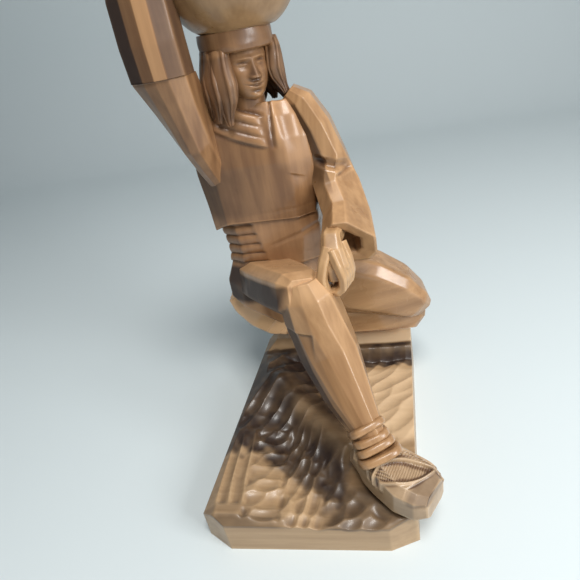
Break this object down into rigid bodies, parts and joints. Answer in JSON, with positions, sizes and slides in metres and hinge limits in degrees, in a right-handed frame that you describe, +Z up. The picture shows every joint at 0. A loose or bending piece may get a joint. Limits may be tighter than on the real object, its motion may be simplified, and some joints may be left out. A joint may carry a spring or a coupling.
{
  "type": "carved wooden figurine",
  "caption": "Carved wooden figurine of a seated figure with a raised arm and a jar on its head, one knee up and one leg folded, on a chamfered block carved as rock",
  "frame": {"origin": "middle of the base's flat underside, where it meets the surface it stands on", "axes": "+X to the viewer's right of the front face, +Y away from the viewer, +Z up"},
  "size_m": [0.1218, 0.1394, 0.2694],
  "materials": {
    "figure_wood": "satin lacquer over a honey stain",
    "jar_wood": "satin lacquer over a honey stain",
    "rock_wood": "satin lacquer, dark stain rubbed into the gouge marks",
    "dowel_wood": "bare, glued in"
  },
  "bodies": {
    "root": {"base_block": "rock_wood", "torso": "figure_wood", "head": "figure_wood", "jar": "jar_wood", "raised_upper_arm": "figure_wood", "raised_forearm": "figure_wood", "left_sleeve": "figure_wood", "left_hand": "figure_wood", "right_leg": "figure_wood", "right_shoe": "figure_wood", "left_leg": "figure_wood", "left_foot": "figure_wood", "neck_dowel": "dowel_wood", "jar_dowel": "dowel_wood", "raised_shoulder_dowel": "dowel_wood", "elbow_dowel": "dowel_wood", "left_shoulder_dowel": "dowel_wood", "wrist_dowel": "dowel_wood", "right_hip_dowel": "dowel_wood", "ankle_dowel": "dowel_wood", "shoe_dowel": "dowel_wood", "left_hip_dowel": "dowel_wood", "seat_dowel": "dowel_wood", "foot_dowel": "dowel_wood", "ledge_dowel_outer": "dowel_wood", "ledge_dowel_inner": "dowel_wood"}
  },
  "joints": []
}
